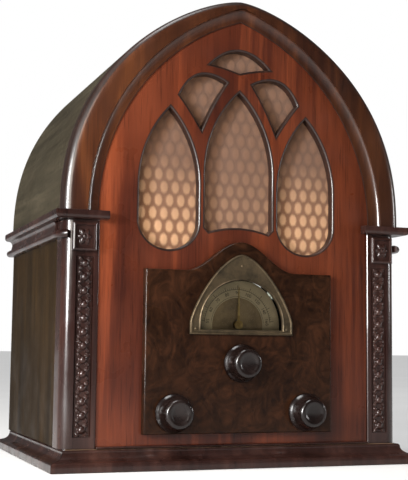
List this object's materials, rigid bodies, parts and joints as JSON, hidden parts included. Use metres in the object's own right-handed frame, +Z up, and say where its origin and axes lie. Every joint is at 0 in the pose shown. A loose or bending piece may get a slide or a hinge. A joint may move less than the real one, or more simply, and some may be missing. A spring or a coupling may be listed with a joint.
{
  "type": "cathedral radio",
  "caption": "Arched wooden table radio with pierced lancet grille, half-moon dial, turned knobs, loudspeaker and valve chassis.",
  "frame": {"origin": "centre of the underside of the bottom board, on the surface the radio stands on", "axes": "+Z up, the front with the dial faces -Y, +X to the right seen from the front"},
  "size_m": [0.375, 0.281, 0.46],
  "materials": {
    "front_wood": "red-brown walnut veneer under glossy shellac",
    "arch_wood": "orange-brown turned walnut, glossy",
    "dark_wood": "dark stained solid mouldings and carving, glossy",
    "side_wood": "dark brown veneer, satin",
    "roof_wood": "bent plywood, brown-grey veneer, worn satin",
    "burl_wood": "dark burl veneer, glossy",
    "board_wood": "unfinished plywood and pine board",
    "escutcheon_bronze": "oxidised pressed bronze",
    "dial_glass": "flat clear glass",
    "dial_card": "aged printed scale card",
    "grille_fabric": "woven grille cloth with offset rows of pale ovals",
    "chassis_steel": "cadmium-grey sheet steel",
    "bright_steel": "turned and plated steel",
    "black_paint": "black enamel",
    "cone_paper": "dark pressed paper",
    "aluminium": "spun and pressed aluminium",
    "brass": "lacquered brass",
    "tube_glass": "blown glass",
    "bakelite": "dark brown moulded bakelite",
    "black_rubber": "black rubber"
  },
  "bodies": {
    "cabinet": {"audio_tube": "tube_glass", "base_moulding_front": "dark_wood", "base_moulding_left": "dark_wood", "base_moulding_right": "dark_wood", "bottom_board": "board_wood", "capital_block_left": "dark_wood", "capital_block_right": "dark_wood", "chassis": "chassis_steel", "chassis_bolt_1": "bright_steel", "chassis_bolt_2": "bright_steel", "chassis_bolt_3": "bright_steel", "chassis_bolt_4": "bright_steel", "coil_can_1": "aluminium", "coil_can_2": "aluminium", "coil_can_3": "aluminium", "column_carving_left": "dark_wood", "column_carving_right": "dark_wood", "column_left": "dark_wood", "column_right": "dark_wood", "condenser_frame": "aluminium", "cord_grommet": "black_rubber", "dial_bracket": "chassis_steel", "dial_lamp": "tube_glass", "dial_plate": "dial_card", "dial_window": "dial_glass", "escutcheon": "escutcheon_bronze", "filter_condenser": "aluminium", "front_arch_moulding": "arch_wood", "front_panel": "front_wood", "grille_cloth": "grille_fabric", "impost_moulding_left": "dark_wood", "impost_moulding_right": "dark_wood", "instrument_panel": "burl_wood", "lamp_holder": "chassis_steel", "output_transformer": "black_paint", "output_tube": "tube_glass", "power_transformer": "black_paint", "rectifier_tube": "tube_glass", "roof_shell": "roof_wood", "side_panel_left": "side_wood", "side_panel_right": "side_wood", "speaker_baffle": "board_wood", "speaker_basket": "black_paint", "speaker_field_coil": "black_paint", "terminal_strip": "bakelite", "tone_switch": "bright_steel", "tube_shield_1": "aluminium", "tube_shield_2": "aluminium", "tube_shield_3": "aluminium", "volume_control": "bright_steel"},
    "dial_rotor": {"condenser_rotor": "aluminium", "drive_disc": "brass", "dial_pointer": "brass"},
    "tuning": {"tuning_shaft": "bright_steel", "tuning_knob": "bakelite"},
    "volume": {"volume_shaft": "bright_steel", "volume_knob": "bakelite"},
    "tone": {"tone_shaft": "bright_steel", "tone_knob": "bakelite"},
    "cone": {"speaker_cone": "cone_paper"}
  },
  "joints": [
    {"name": "dial_turn", "type": "hinge", "parent": "cabinet", "child": "dial_rotor", "pos_m": [0, -0.05, 0.136], "axis": [0, 1, 0], "range_deg": [-90, 90]},
    {"name": "tuning_turn", "type": "hinge", "parent": "cabinet", "child": "tuning", "pos_m": [0, -0.13, 0.0988], "axis": [0, 1, 0], "range_deg": [-630, 630]},
    {"name": "volume_turn", "type": "hinge", "parent": "cabinet", "child": "volume", "pos_m": [-0.0685, -0.13, 0.0515], "axis": [0, 1, 0], "range_deg": [0, 300]},
    {"name": "tone_turn", "type": "hinge", "parent": "cabinet", "child": "tone", "pos_m": [0.0685, -0.13, 0.0515], "axis": [0, 1, 0], "range_deg": [0, 90]},
    {"name": "cone_travel", "type": "slide", "parent": "cabinet", "child": "cone", "axis": [0, 1, 0], "range_m": [-0.001, 0.001], "stiffness_N_per_m": 1500}
  ],
  "couplings": [
    {"joint": "tuning_turn", "follows": "dial_turn", "ratio": -7}
  ]
}
